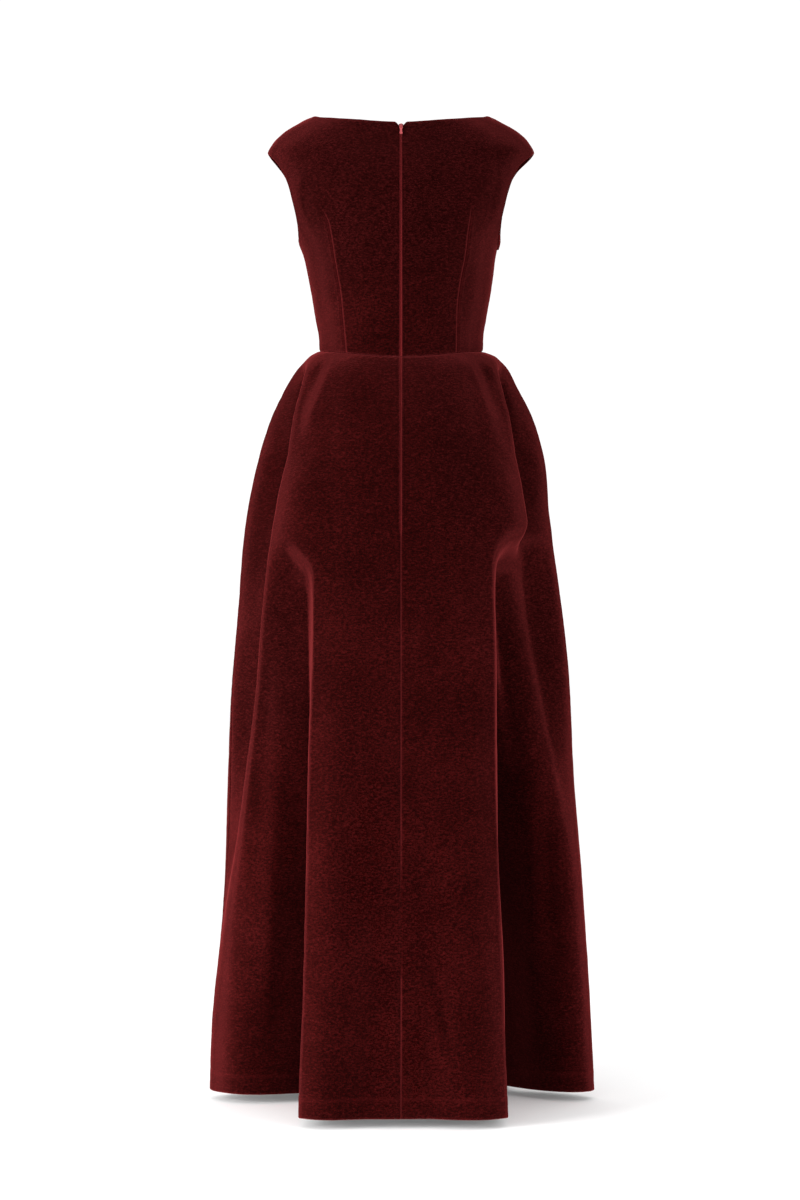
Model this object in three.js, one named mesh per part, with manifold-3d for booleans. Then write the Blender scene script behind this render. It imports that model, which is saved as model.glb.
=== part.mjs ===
// A floor-length velvet gown, filled out as it is worn, with nobody in it.
// Boat neck, cap sleeves cut in one with the bodice, waist seam, full skirt that stands out in
// side pleats at the hips and falls in deep folds, invisible zip in the centre back.
// Millimetres, +Z up. The back of the gown faces -Y and its front +Y, +X is the wearer's right.
// The origin lies midway between the tops of the two shoulders, where the gown hangs.

import * as THREE from "three";
import { mergeVertices } from "three/addons/utils/BufferGeometryUtils.js";
import Module from "manifold-3d";

// Driving dimensions
const WALL = 2;
const SEAM_GAP = 0.3;
const WAIST_Z = -346;
const HEM_Z = -1446;
const BACK_WAIST_DIP = 15;
const DIP_FADE = 230;

const SHOULDER_TIP_Z = -55;
const UNDERARM_Z = -196;
const ARMHOLE_BACK_REACH = 52;
const ARMHOLE_FRONT_REACH = 47;
const BACK_NECK_DROP = 20;
const FRONT_NECK_DROP = 64;
const BACK_NECK_CURVE = 1.8;
const FRONT_NECK_CURVE = 2.2;
const NOTCH_DEPTH = 8.5;

const CREASE_DEPTH = 0.9;
const ZIP_END_Z = -628;
const SIDE_SEAM_ANGLE = 97;

// Where the lines of the cut lie across half a bodice panel, as shares from the centre to the side
const LIP_SHARE = 0.014;
const NOTCH_SHARE = 0.045;
const DART_SHARE = 0.578;
const NECK_SHARE = 0.72;
const UNDERARM_SHARE = 0.43;
const BACK_DART_TOP_Z = -135;
const FRONT_DART_TOP_Z = -215;

// Horizontal sections of the body of the gown: half width at the side, reach at the centre back
// and at the centre front, and how square the section is (2 is an ellipse).
const BODICE_SECTIONS = [
  { z: WAIST_Z, half: 121, back: 88, front: 90, square: 2.15 },
  { z: -328, half: 121.5, back: 88, front: 92, square: 2.15 },
  { z: -300, half: 126, back: 90, front: 99, square: 2.15 },
  { z: -270, half: 131.5, back: 94, front: 110, square: 2.2 },
  { z: -240, half: 137, back: 99, front: 122, square: 2.2 },
  { z: -211, half: 142.5, back: 103, front: 129, square: 2.2 },
  { z: UNDERARM_Z, half: 147, back: 105, front: 129, square: 2.2 },
  { z: -166, half: 160, back: 107, front: 124, square: 2.2 },
  { z: -137, half: 174, back: 106.5, front: 115, square: 2.2 },
  { z: -107, half: 184, back: 104, front: 105, square: 2.2 },
  { z: -78, half: 191, back: 98, front: 95, square: 2.2 },
  { z: SHOULDER_TIP_Z, half: 197, back: 91, front: 86, square: 2.2 },
  { z: -39, half: 189, back: 86, front: 80, square: 2.2 },
  { z: -23, half: 173, back: 81, front: 74, square: 2.2 },
  { z: -12.6, half: 155, back: 78, front: 70, square: 2.2 },
  { z: -5, half: 139, back: 76, front: 67, square: 2.2 },
  { z: 0, half: 122, back: 75, front: 65, square: 2.2 },
];

// The gown hangs a little narrower on its right from the cap sleeve to the underarm.
const RIGHT_SIDE_SETTLE = [
  { z: WAIST_Z, share: 0 },
  { z: -270, share: 0 },
  { z: -211, share: 0.034 },
  { z: -137, share: 0.036 },
  { z: -78, share: 0.028 },
  { z: SHOULDER_TIP_Z, share: 0 },
];

const SKIRT_SECTIONS = [
  { z: HEM_Z, half: 288, back: 190, front: 214, square: 2.4 },
  { z: -1395, half: 286, back: 187, front: 211, square: 2.4 },
  { z: -1247, half: 275, back: 178, front: 200, square: 2.35 },
  { z: -1099, half: 264.5, back: 170, front: 188, square: 2.3 },
  { z: -951, half: 255, back: 163, front: 175, square: 2.3 },
  { z: -803, half: 244, back: 157, front: 161, square: 2.25 },
  { z: -655, half: 230.5, back: 150, front: 145, square: 2.2 },
  { z: -566, half: 218, back: 142, front: 134, square: 2.2 },
  { z: -506, half: 207, back: 134, front: 125, square: 2.15 },
  { z: -447, half: 192, back: 122, front: 115, square: 2.15 },
  { z: -418, half: 180.5, back: 114, front: 109, square: 2.15 },
  { z: -380, half: 160.5, back: 102, front: 101, square: 2.15 },
  { z: -365, half: 149, back: 96.5, front: 97, square: 2.15 },
  { z: -353, half: 135, back: 91, front: 92.5, square: 2.15 },
  { z: WAIST_Z, half: 121, back: 88, front: 90, square: 2.15 },
];

// Deep folds of the skirt. Seen from above, the cloth leaves the outline at the ridge (degrees
// round from the centre back), turns in within rise degrees and comes back out by end.
// At the hem the valley lies pullIn closer to the centre and pullForward nearer the front.
// The fold opens at the height start, and slant higher on from the ridge: 30 degrees on, or
// sooner where arch is over 1. It opens with a lip, FOLD_LIP of its full depth.
const FOLD_LIP = 0.1;
const FOLD_LIP_DROP = 36;
const DEEP_FOLDS = [
  { name: "back left", side: -1, ridgeTop: 43.5, ridgeHem: 38, rise: 5, riseLow: 4.5,
    endTop: 66, endHem: 122, fallTop: 1.2, fall: 1.5, pullIn: 30, pullForward: 205,
    start: -654, slant: 30, arch: 2.4, growth: 0.75 },
  { name: "back right", side: 1, ridgeTop: 45, ridgeHem: 39.5, rise: 10.5, riseLow: 5.5,
    endTop: 118, endHem: 122, fallTop: 1.1, fall: 2.1, pullIn: 26, pullForward: 292,
    start: -638, slant: 32, arch: 1, growth: 0.75 },
  { name: "front left", side: -1, ridgeTop: 139, ridgeHem: 144, rise: -12, riseLow: -12,
    endTop: 112, endHem: 78, fallTop: 1.6, fall: 1.6, pullIn: 26, pullForward: -95,
    start: -615, slant: 10, arch: 1, growth: 0.8 },
  { name: "front right", side: 1, ridgeTop: 138, ridgeHem: 143, rise: -12, riseLow: -12,
    endTop: 90, endHem: 80, fallTop: 1.7, fall: 1.7, pullIn: 24, pullForward: -88,
    start: -600, slant: 20, arch: 1, growth: 0.8 },
];

// Swells (out > 0) and troughs (out < 0) of the skirt, measured straight out from the axis:
// centre angle at the waist, at the hips and at the hem, half spans in degrees behind and before
// the centre, and the heights where each starts, is full, begins to fade and ends.
const HIP_Z = -500;
const SWELLS = [
  { name: "side pleat left", side: -1, waist: 84, hip: 78, hem: 97, behind: 18, before: 14, out: -47,
    start: -347, full: -425, fade: -790, end: -1360 },
  { name: "side pleat right", side: 1, waist: 84.5, hip: 79, hem: 80, behind: 18, before: 14, out: -47,
    start: -347, full: -425, fade: -700, end: -1150 },
  { name: "valley right", side: 1, waist: 61.5, hip: 61, hem: 62, behind: 16.5, before: 18, out: -45,
    start: -598, full: -678, fade: -700, end: -1150 },
  { name: "side lobe left", side: -1, waist: 97, hip: 97, hem: 97, behind: 26, before: 26, out: 7,
    start: -350, full: -600, fade: -1446, end: -1500 },
  { name: "low lobe left", side: -1, waist: 99, hip: 99, hem: 99, behind: 26, before: 26, out: 7,
    start: -700, full: -900, fade: -1150, end: -1446 },
  { name: "side lobe right", side: 1, waist: 97, hip: 97, hem: 97, behind: 24, before: 24, out: 7,
    start: -350, full: -470, fade: -500, end: -590 },
  { name: "low lobe right", side: 1, waist: 99, hip: 99, hem: 96, behind: 26, before: 26, out: 7,
    start: -600, full: -820, fade: -1446, end: -1500 },
  { name: "hip puff right", side: 1, waist: 92, hip: 92, hem: 92, behind: 34, before: 34, out: 5,
    start: -346, full: -354, fade: -366, end: -400 },
  { name: "inner pleat left", side: -1, waist: 61, hip: 60, hem: 58, behind: 8, before: 8, out: -6,
    start: -348, full: -380, fade: -410, end: -500 },
  { name: "inner pleat right", side: 1, waist: 61, hip: 60, hem: 60, behind: 8, before: 8, out: -5,
    start: -348, full: -380, fade: -410, end: -500 },
  { name: "front pleat left", side: -1, waist: 114, hip: 114, hem: 112, behind: 14, before: 14, out: -38,
    start: -347, full: -430, fade: -700, end: -1150 },
  { name: "front pleat right", side: 1, waist: 113, hip: 112, hem: 110, behind: 14, before: 14, out: -36,
    start: -347, full: -430, fade: -640, end: -1000 },
  { name: "panel edge left", side: -1, waist: 27, hip: 27, hem: 29, behind: 19, before: 19, out: 17,
    start: -640, full: -1446, fade: -1446, end: -1500 },
  { name: "panel edge right", side: 1, waist: 28, hip: 28, hem: 30, behind: 19, before: 19, out: 18,
    start: -640, full: -1446, fade: -1446, end: -1500 },
  { name: "front edge left", side: -1, waist: 156, hip: 156, hem: 153, behind: 20, before: 20, out: 12,
    start: -640, full: -1446, fade: -1446, end: -1500 },
  { name: "front edge right", side: 1, waist: 155, hip: 155, hem: 152, behind: 20, before: 20, out: 12,
    start: -640, full: -1446, fade: -1446, end: -1500 },
  { name: "hip shelf left", side: -1, waist: 52, hip: 52, hem: 50, behind: 16, before: 16, out: 7,
    start: -470, full: -575, fade: -590, end: -700 },
  { name: "hip shelf right", side: 1, waist: 54, hip: 54, hem: 52, behind: 16, before: 16, out: 7,
    start: -470, full: -575, fade: -590, end: -700 },
];

// How finely the cloth is divided
const BODICE_COLUMNS = [
  0, LIP_SHARE, NOTCH_SHARE, 0.14, 0.24, 0.34, 0.45, DART_SHARE - 0.025,
  DART_SHARE, DART_SHARE + 0.025, NECK_SHARE, 0.79, 0.86, 0.93, 1,
];
const SIDE_SEAM_ROWS = 5;
const ARMHOLE_ROWS = 10;
const SKIRT_ROW_HEIGHTS = [
  WAIST_Z, -349, -354, -361, -371, -385, -404, -430, -464, -508, -556, -592, -606, -620, -634,
  -650, -668, -695, -730, -800, -870, -970, -1080, -1200, -1325, HEM_Z,
];
const BACK_SKIRT_COLUMNS = 25;
const FRONT_SKIRT_COLUMNS = 32;
const BEND_WEIGHT = 22;

// Zip and its slider
const TAPE_WIDTH = 12;
const TAPE_WALL = 1;
const TAPE_GAP = 0.4;
const TAPE_EDGE = 0.9;
const TAPE_TOP_SHARE = 0.85;
const SLIDER_TOP_Z = -23;
const SLIDER_BODY = { width: 6.4, thick: 3, height: 10 };
const BAIL_WIDTH = 1.4;
const BAIL_HOLE_RADIUS = 0.95;
const BAIL_OUTER_RADIUS = 2.1;
const PULL_THICK = 1;
const PULL_TILT_DEG = 9.5;
const PULL_AXIS_Z = -27;

const VELVET = { color: "#3d0609", roughness: 0.85, metalness: 0 };
const TAPE_CLOTH = { color: "#4a0d10", roughness: 0.8, metalness: 0 };
const ENAMEL = { color: "#8c1f22", roughness: 0.35, metalness: 0.2 };

const clamp01 = (t) => Math.min(1, Math.max(0, t));
const lerp = (a, b, t) => a + (b - a) * t;
const ease = (t) => clamp01(t) ** 2 * (3 - 2 * clamp01(t));
const radians = (degrees) => (degrees * Math.PI) / 180;

// A smooth curve through one column of a table, without overshoot between its rows.
function curveThrough(rows, along, column) {
  const sorted = [...rows].sort((a, b) => a[along] - b[along]);
  const x = sorted.map((row) => row[along]);
  const y = sorted.map((row) => row[column]);
  const secants = x.slice(1).map((_, i) => (y[i + 1] - y[i]) / (x[i + 1] - x[i]));
  const slopes = x.map((_, i) => {
    if (i === 0) return secants[0];
    if (i === x.length - 1) return secants[i - 1];
    const [before, after] = [secants[i - 1], secants[i]];
    return before * after <= 0 ? 0 : (2 * before * after) / (before + after);
  });
  return (at) => {
    const held = Math.min(x[x.length - 1], Math.max(x[0], at));
    let i = 0;
    while (i < x.length - 2 && held > x[i + 1]) i += 1;
    const width = x[i + 1] - x[i];
    const t = (held - x[i]) / width;
    const startPart = (1 + 2 * t) * (1 - t) ** 2 * y[i] + t * (1 - t) ** 2 * width * slopes[i];
    const endPart = t * t * (3 - 2 * t) * y[i + 1] + t * t * (t - 1) * width * slopes[i + 1];
    return startPart + endPart;
  };
}

const sectionCurves = (rows) => ({
  half: curveThrough(rows, "z", "half"),
  back: curveThrough(rows, "z", "back"),
  front: curveThrough(rows, "z", "front"),
  square: curveThrough(rows, "z", "square"),
});
const bodiceAt = sectionCurves(BODICE_SECTIONS);
const skirtAt = sectionCurves(SKIRT_SECTIONS);
const settleAt = curveThrough(RIGHT_SIDE_SETTLE, "z", "share");
const shoulderHeightAt = curveThrough(
  BODICE_SECTIONS.filter((row) => row.z >= SHOULDER_TIP_Z), "half", "z");

// Distance from the axis to a section's outline, at an angle from its centre plane.
function sectionRadius(half, reach, square, angle) {
  const sideways = Math.abs(Math.sin(radians(angle))) / half;
  const endways = Math.abs(Math.cos(radians(angle))) / reach;
  return (sideways ** square + endways ** square) ** (-1 / square);
}

// The waist seam hangs lower at the centre back, and the dip fades away above and below it.
function waistDip(angleFromBack, z) {
  const atBack = Math.max(0, Math.cos(radians(angleFromBack))) ** 1.5;
  return BACK_WAIST_DIP * atBack * clamp01(1 - Math.abs(z - WAIST_Z) / DIP_FADE) ** 2;
}

// A point of the bodice on the wearer's right: angle from the centre of that face, in degrees.
function bodicePoint(face, angle, z) {
  const reach = bodiceAt[face](z);
  const radius = sectionRadius(bodiceAt.half(z), reach, bodiceAt.square(z), angle);
  const forward = face === "back" ? -1 : 1;
  const angleFromBack = face === "back" ? angle : 180 - angle;
  return new THREE.Vector3(
    radius * Math.sin(radians(angle)),
    forward * radius * Math.cos(radians(angle)),
    z - waistDip(angleFromBack, z),
  );
}

function rises(swell, z) {
  const grown = ease((swell.start - z) / (swell.start - swell.full));
  const faded = ease((swell.fade - z) / (swell.fade - swell.end));
  return grown * (1 - faded);
}

function swellCentre(swell, z) {
  if (z > HIP_Z) return lerp(swell.waist, swell.hip, (WAIST_Z - z) / (WAIST_Z - HIP_Z));
  return lerp(swell.hip, swell.hem, (HIP_Z - z) / (HIP_Z - HEM_Z));
}

function swellAt(side, angle, z) {
  let out = 0;
  for (const swell of SWELLS) {
    const offset = angle - swellCentre(swell, z);
    const away = Math.abs(offset) / (offset < 0 ? swell.behind : swell.before);
    if (swell.side !== side || away >= 1) continue;
    out += swell.out * rises(swell, z) * Math.cos((away * Math.PI) / 2) ** 2;
  }
  return out;
}

// How far a deep fold has pulled the cloth in, from 0 to about 1.
function foldShare(fold, angle, z) {
  const ridgeAt = (share) => lerp(fold.ridgeTop, fold.ridgeHem, share);
  const beyond = clamp01((angle - fold.ridgeTop) / Math.sign(fold.rise) / 30);
  const start = fold.start + fold.slant * ease(beyond * fold.arch);
  const drop = start - z;
  const down = clamp01(drop / (start - HEM_Z));
  const end = lerp(fold.endTop, fold.endHem, ease(down / 0.35));
  const across = (angle - ridgeAt(down)) / (end - ridgeAt(down));
  if (down <= 0 || across <= 0 || across >= 1) return 0;
  const rise = lerp(fold.rise, fold.riseLow, ease(down / 0.12));
  const turnIn = ease((angle - ridgeAt(down)) / rise);
  const fall = lerp(fold.fallTop, fold.fall, ease(down / 0.3));
  const lip = FOLD_LIP * ease(drop / FOLD_LIP_DROP);
  const depth = lip + (1 - FOLD_LIP) * down ** fold.growth * ease(down / 0.08);
  return depth * turnIn * (1 - across) ** fall;
}

// A point of the skirt: angle in degrees round from the centre back, towards the wearer's right.
function skirtPoint(turn, z) {
  const wrapped = turn > 180 ? turn - 360 : turn;
  const side = wrapped < 0 ? -1 : 1;
  const angle = Math.abs(wrapped);
  const reach = angle < 90 ? skirtAt.back(z) : skirtAt.front(z);
  const outline = sectionRadius(skirtAt.half(z), reach, skirtAt.square(z), angle);
  const radius = outline + swellAt(side, angle, z);
  const point = new THREE.Vector3(
    side * radius * Math.sin(radians(angle)),
    -radius * Math.cos(radians(angle)),
    z - waistDip(angle, z),
  );
  for (const fold of DEEP_FOLDS.filter((row) => row.side === side)) {
    const share = foldShare(fold, angle, z);
    point.x -= side * fold.pullIn * share;
    point.y += fold.pullForward * share;
  }
  return point;
}

// The outward normal of a surface given as a function of an angle and a height.
function normalOf(surface, angle, z, lowZ, highZ, outward = 1) {
  const stepAngle = 0.25;
  const stepZ = 0.6;
  const up = Math.min(highZ, z + stepZ);
  const down = Math.max(lowZ, z - stepZ);
  const across = surface(angle + stepAngle, z).sub(surface(angle - stepAngle, z));
  const along = surface(angle, up).sub(surface(angle, down));
  return across.cross(along).normalize().multiplyScalar(outward);
}

// A normal with one part taken out, so that a cut edge stands square to its seam.
function squared(normal, axis) {
  const flat = normal.clone();
  flat[axis] = 0;
  return flat.normalize();
}

// A closed wall from a grid of {outer, inner} points, columns running round and rows running up.
function wallGeometry(grid) {
  const rows = grid.length;
  const columns = grid[0].length;
  const corner = (row, column, face) => grid[row][column][face];
  const triangles = [];
  const quad = (a, b, c, d) => triangles.push(a, b, c, a, c, d);
  for (let r = 0; r < rows - 1; r += 1) {
    for (let c = 0; c < columns - 1; c += 1) {
      const at = (face) => [[r, c], [r, c + 1], [r + 1, c + 1], [r + 1, c]]
        .map(([row, column]) => corner(row, column, face));
      quad(...at("outer"));
      quad(...at("inner").reverse());
    }
  }
  const rim = (a, b) => quad(
    corner(...a, "inner"), corner(...b, "inner"), corner(...b, "outer"), corner(...a, "outer"));
  for (let c = 0; c < columns - 1; c += 1) {
    rim([0, c], [0, c + 1]);
    rim([rows - 1, c + 1], [rows - 1, c]);
  }
  // Both ends split their twisted quads along the same diagonal, so that facing seams stay apart.
  const last = columns - 1;
  for (let r = 0; r < rows - 1; r += 1) {
    rim([r + 1, 0], [r, 0]);
    quad(
      corner(r + 1, last, "inner"), corner(r + 1, last, "outer"),
      corner(r, last, "outer"), corner(r, last, "inner"));
  }
  const geometry = new THREE.BufferGeometry().setFromPoints(triangles);
  geometry.computeVertexNormals();
  return geometry;
}

function named(name, geometry, finish) {
  const mesh = new THREE.Mesh(geometry, new THREE.MeshStandardMaterial(finish));
  mesh.name = name;
  return mesh;
}

// The four edges of half a bodice panel, each point as an angle from the centre and a height.
function bodiceEdges(face) {
  const isBack = face === "back";
  const drop = isBack ? BACK_NECK_DROP : FRONT_NECK_DROP;
  const curve = isBack ? BACK_NECK_CURVE : FRONT_NECK_CURVE;
  const notch = isBack ? NOTCH_DEPTH : 0;
  const armholeReach = isBack ? ARMHOLE_BACK_REACH : ARMHOLE_FRONT_REACH;
  const armholeZ = (UNDERARM_Z + SHOULDER_TIP_Z) / 2;
  const armholeHalf = (SHOULDER_TIP_Z - UNDERARM_Z) / 2;
  const neckHalf = bodiceAt.half(0);
  const tipHalf = bodiceAt.half(SHOULDER_TIP_Z);

  const top = (u) => {
    if (u > NECK_SHARE) {
      const half = lerp(neckHalf, tipHalf, (u - NECK_SHARE) / (1 - NECK_SHARE));
      return { angle: 90, z: shoulderHeightAt(half) };
    }
    const round = u / NECK_SHARE;
    const cut = notch * clamp01(1 - u / NOTCH_SHARE);
    return { angle: 90 * round, z: -drop * (1 - round ** curve) - cut };
  };
  const side = (v) => {
    if (v <= UNDERARM_SHARE) return { angle: 90, z: lerp(WAIST_Z, UNDERARM_Z, v / UNDERARM_SHARE) };
    const swing = radians(lerp(-90, 90, (v - UNDERARM_SHARE) / (1 - UNDERARM_SHARE)));
    const z = armholeZ + armholeHalf * Math.sin(swing);
    const inset = armholeReach * Math.cos(swing);
    const share = (inset / bodiceAt[face](z)) ** bodiceAt.square(z);
    const halfThere = bodiceAt.half(z) * (1 - share) ** (1 / bodiceAt.square(z));
    return { angle: 90 - (Math.atan2(inset, halfThere) * 180) / Math.PI, z };
  };
  const bottom = (u) => ({ angle: 90 * u, z: WAIST_Z });
  const centre = (v) => ({ angle: 0, z: lerp(WAIST_Z, top(0).z, v) });
  return { top, side, bottom, centre };
}

// Blends the four edges into a point inside the panel. Columns stay upright low down.
function blendEdges(edges, u, v) {
  const mix = (part, rise) => {
    const upright = lerp(edges.bottom(u)[part], edges.top(u)[part], rise);
    const level = lerp(edges.centre(v)[part], edges.side(v)[part], u);
    const low = lerp(edges.bottom(0)[part], edges.bottom(1)[part], u);
    const high = lerp(edges.top(0)[part], edges.top(1)[part], u);
    return upright + level - lerp(low, high, rise);
  };
  return { angle: mix("angle", v * v), z: mix("z", v) };
}

// How deep a sewn line lies in the bodice's outer face: the lips at the centre back, and darts.
function bodiceCrease(face, u, z) {
  const atCentre = face === "back" && u === 0;
  if (atCentre) return CREASE_DEPTH;
  const dartTop = face === "back" ? BACK_DART_TOP_Z : FRONT_DART_TOP_Z;
  return u === DART_SHARE && z < dartTop ? CREASE_DEPTH : 0;
}

const bodiceRowShares = [
  ...Array.from({ length: SIDE_SEAM_ROWS }, (_, i) => (UNDERARM_SHARE * i) / SIDE_SEAM_ROWS),
  ...Array.from({ length: ARMHOLE_ROWS + 1 }, (_, i) =>
    lerp(UNDERARM_SHARE, 1, i / ARMHOLE_ROWS)),
];

// Half a bodice panel on the wearer's right, columns from the centre to the side.
function bodiceHalf(face) {
  const edges = bodiceEdges(face);
  const surface = (angle, z) => bodicePoint(face, angle, z);
  const outward = face === "back" ? 1 : -1;
  return bodiceRowShares.map((v, row) =>
    BODICE_COLUMNS.map((u) => {
      const { angle, z } = blendEdges(edges, u, v);
      const outer = surface(angle, z);
      let normal = normalOf(surface, angle, z, WAIST_Z, 0, outward);
      const onSeam = angle > 89.99;
      if (onSeam) {
        normal = squared(normal, "y");
        outer.y += (face === "back" ? -1 : 1) * (SEAM_GAP / 2);
      }
      if (u === 0) normal = squared(normal, "x");
      if (u === 0 && face === "back") outer.x += SEAM_GAP / 2;
      if (row === 0) {
        normal = squared(normal, "z");
        outer.z += SEAM_GAP / 2;
      }
      const inner = outer.clone().addScaledVector(normal, -WALL);
      outer.addScaledVector(normal, -bodiceCrease(face, u, z));
      return { outer, inner };
    }));
}

const mirrorPoint = (point) => new THREE.Vector3(-point.x, point.y, point.z);
const mirrored = (grid) => grid.map((row) =>
  row.map(({ outer, inner }) => ({ outer: mirrorPoint(outer), inner: mirrorPoint(inner) })));
const settlePoint = (point) => new THREE.Vector3(
  point.x * (1 - settleAt(point.z)), point.y, point.z);
const settled = (grid) => grid.map((row) =>
  row.map(({ outer, inner }) => ({ outer: settlePoint(outer), inner: settlePoint(inner) })));
const reversed = (grid) => grid.map((row) => [...row].reverse());

// Angles that spread the columns of one skirt ring: even along the cloth, closer where it bends.
function ringAngles(from, to, columns, z) {
  const samples = 360;
  const angles = Array.from({ length: samples + 1 }, (_, i) => lerp(from, to, i / samples));
  const points = angles.map((angle) => skirtPoint(angle, z));
  const travelled = [0];
  for (let i = 1; i <= samples; i += 1) {
    const step = points[i].clone().sub(points[i - 1]);
    const last = points[i - 1].clone().sub(points[Math.max(0, i - 2)]);
    const bend = last.lengthSq() > 0 ? step.angleTo(last) : 0;
    travelled.push(travelled[i - 1] + step.length() + BEND_WEIGHT * bend);
  }
  return Array.from({ length: columns + 1 }, (_, column) => {
    const target = (travelled[samples] * column) / columns;
    let i = 1;
    while (i < samples && travelled[i] < target) i += 1;
    const within = (target - travelled[i - 1]) / (travelled[i] - travelled[i - 1]);
    return lerp(angles[i - 1], angles[i], clamp01(within));
  });
}

// One skirt panel between two seams, columns running round from the centre back to the right.
function skirtPanel(from, to, columns) {
  const heights = [...SKIRT_ROW_HEIGHTS].reverse();
  return heights.map((z, row) => {
    const angles = ringAngles(from, to, columns, z);
    return angles.map((angle, column) => {
      const outer = skirtPoint(angle, z);
      const round = skirtPoint(angle + 0.2, z).sub(skirtPoint(angle - 0.2, z)).normalize();
      let normal = normalOf(skirtPoint, angle, z, HEM_Z, WAIST_Z);
      if (row === 0 || row === heights.length - 1) normal = squared(normal, "z");
      if (angle === 0) normal = squared(normal, "x");
      if (column === 0) outer.addScaledVector(round, SEAM_GAP / 2);
      if (column === columns) outer.addScaledVector(round, -SEAM_GAP / 2);
      if (row === heights.length - 1) outer.z -= SEAM_GAP / 2;
      const inner = outer.clone().addScaledVector(normal, -WALL);
      if (angle === 0) outer.addScaledVector(normal, -CREASE_DEPTH);
      return { outer, inner };
    });
  });
}

// A point against the inside of one row of a panel, at a distance from the centre back.
function insideRow(row, x) {
  let column = 1;
  while (column < row.length - 1 && row[column].inner.x < x) column += 1;
  const [near, far] = [row[column - 1], row[column]];
  const across = (x - near.inner.x) / (far.inner.x - near.inner.x);
  const inner = near.inner.clone().lerp(far.inner, across);
  const inward = inner.clone().sub(near.outer.clone().lerp(far.outer, across)).normalize();
  return { outer: inner.clone().addScaledVector(inward, TAPE_GAP), inward };
}

// One zip tape on the wearer's right, made from the back panels' own inner points moved in.
function tapeGrid(bodiceRows, skirtRows) {
  const below = skirtRows.slice(0, -1).filter((row) => row[0].inner.z > ZIP_END_Z);
  const neck = bodiceRows[bodiceRows.length - 1];
  const underNeck = bodiceRows[bodiceRows.length - 2];
  const folded = neck.map((point, column) => ({
    outer: underNeck[column].outer.clone().lerp(point.outer, TAPE_TOP_SHARE),
    inner: underNeck[column].inner.clone().lerp(point.inner, TAPE_TOP_SHARE),
  }));
  const rows = [...below, ...bodiceRows.slice(0, -1), folded];
  return rows.map((row) => [TAPE_EDGE, TAPE_EDGE + TAPE_WIDTH / 2, TAPE_EDGE + TAPE_WIDTH]
    .map((x) => {
      const { outer, inward } = insideRow(row, x);
      return { outer, inner: outer.clone().addScaledVector(inward, TAPE_WALL) };
    }));
}

const wasm = await Module();
wasm.setup();

function solidFrom(geometry) {
  const bare = geometry.clone();
  bare.deleteAttribute("normal");
  bare.deleteAttribute("uv");
  const merged = mergeVertices(bare, 1e-4);
  return new wasm.Manifold(new wasm.Mesh({
    numProp: 3,
    vertProperties: merged.attributes.position.array,
    triVerts: new Uint32Array(merged.index.array),
  }));
}

function geometryFrom(solid) {
  const { vertProperties, triVerts } = solid.getMesh();
  const geometry = new THREE.BufferGeometry()
    .setAttribute("position", new THREE.BufferAttribute(vertProperties, 3))
    .setIndex(new THREE.BufferAttribute(triVerts, 1));
  geometry.computeVertexNormals();
  return geometry;
}

// The pull swings about this point, just outside the lips of the zip.
const pullAxisY = -bodiceAt.back(PULL_AXIS_Z) - BAIL_OUTER_RADIUS - 0.6;

// A shape drawn in the plane of Y (to the right) and Z (up), given its thickness along X.
function acrossX(shape, width) {
  return new THREE.ExtrudeGeometry(shape, { depth: width, bevelEnabled: false, curveSegments: 10 })
    .translate(0, 0, -width / 2)
    .rotateX(Math.PI / 2)
    .rotateZ(Math.PI / 2);
}

// Zip slider: a body inside the gown, a bridge through the notch and a ring that holds the pull.
function sliderGeometry() {
  const bodyZ = SLIDER_TOP_Z - SLIDER_BODY.height / 2;
  const lean = Math.atan2(bodiceAt.back(bodyZ - 6) - bodiceAt.back(bodyZ + 6), 12);
  const layers = WALL + TAPE_GAP + TAPE_WALL + SEAM_GAP + SLIDER_BODY.thick / 2;
  const bodyY = -bodiceAt.back(bodyZ) + layers / Math.cos(lean);
  const bridgeLowZ = PULL_AXIS_Z + 1.1;
  const ring = new THREE.Shape().absarc(pullAxisY, PULL_AXIS_Z, BAIL_OUTER_RADIUS, 0, 2 * Math.PI);
  const hole = new THREE.Path().absarc(pullAxisY, PULL_AXIS_Z, BAIL_HOLE_RADIUS, 0, 2 * Math.PI);
  ring.holes.push(hole);
  const bridge = new THREE.Shape([
    new THREE.Vector2(pullAxisY + 0.4, SLIDER_TOP_Z),
    new THREE.Vector2(pullAxisY + 0.4, bridgeLowZ),
    new THREE.Vector2(bodyY, bridgeLowZ),
    new THREE.Vector2(bodyY, SLIDER_TOP_Z),
  ]);
  const body = new THREE.BoxGeometry(SLIDER_BODY.width, SLIDER_BODY.thick, SLIDER_BODY.height)
    .rotateX(-lean)
    .translate(0, bodyY, bodyZ);
  const pieces = [acrossX(ring, BAIL_WIDTH), acrossX(bridge, BAIL_WIDTH), body].map(solidFrom);
  const clearance = solidFrom(acrossX(new THREE.Shape().absarc(
    pullAxisY, PULL_AXIS_Z, BAIL_HOLE_RADIUS, 0, 2 * Math.PI), 2 * BAIL_WIDTH));
  return geometryFrom(pieces[0].add(pieces[1]).add(pieces[2]).subtract(clearance));
}

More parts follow.
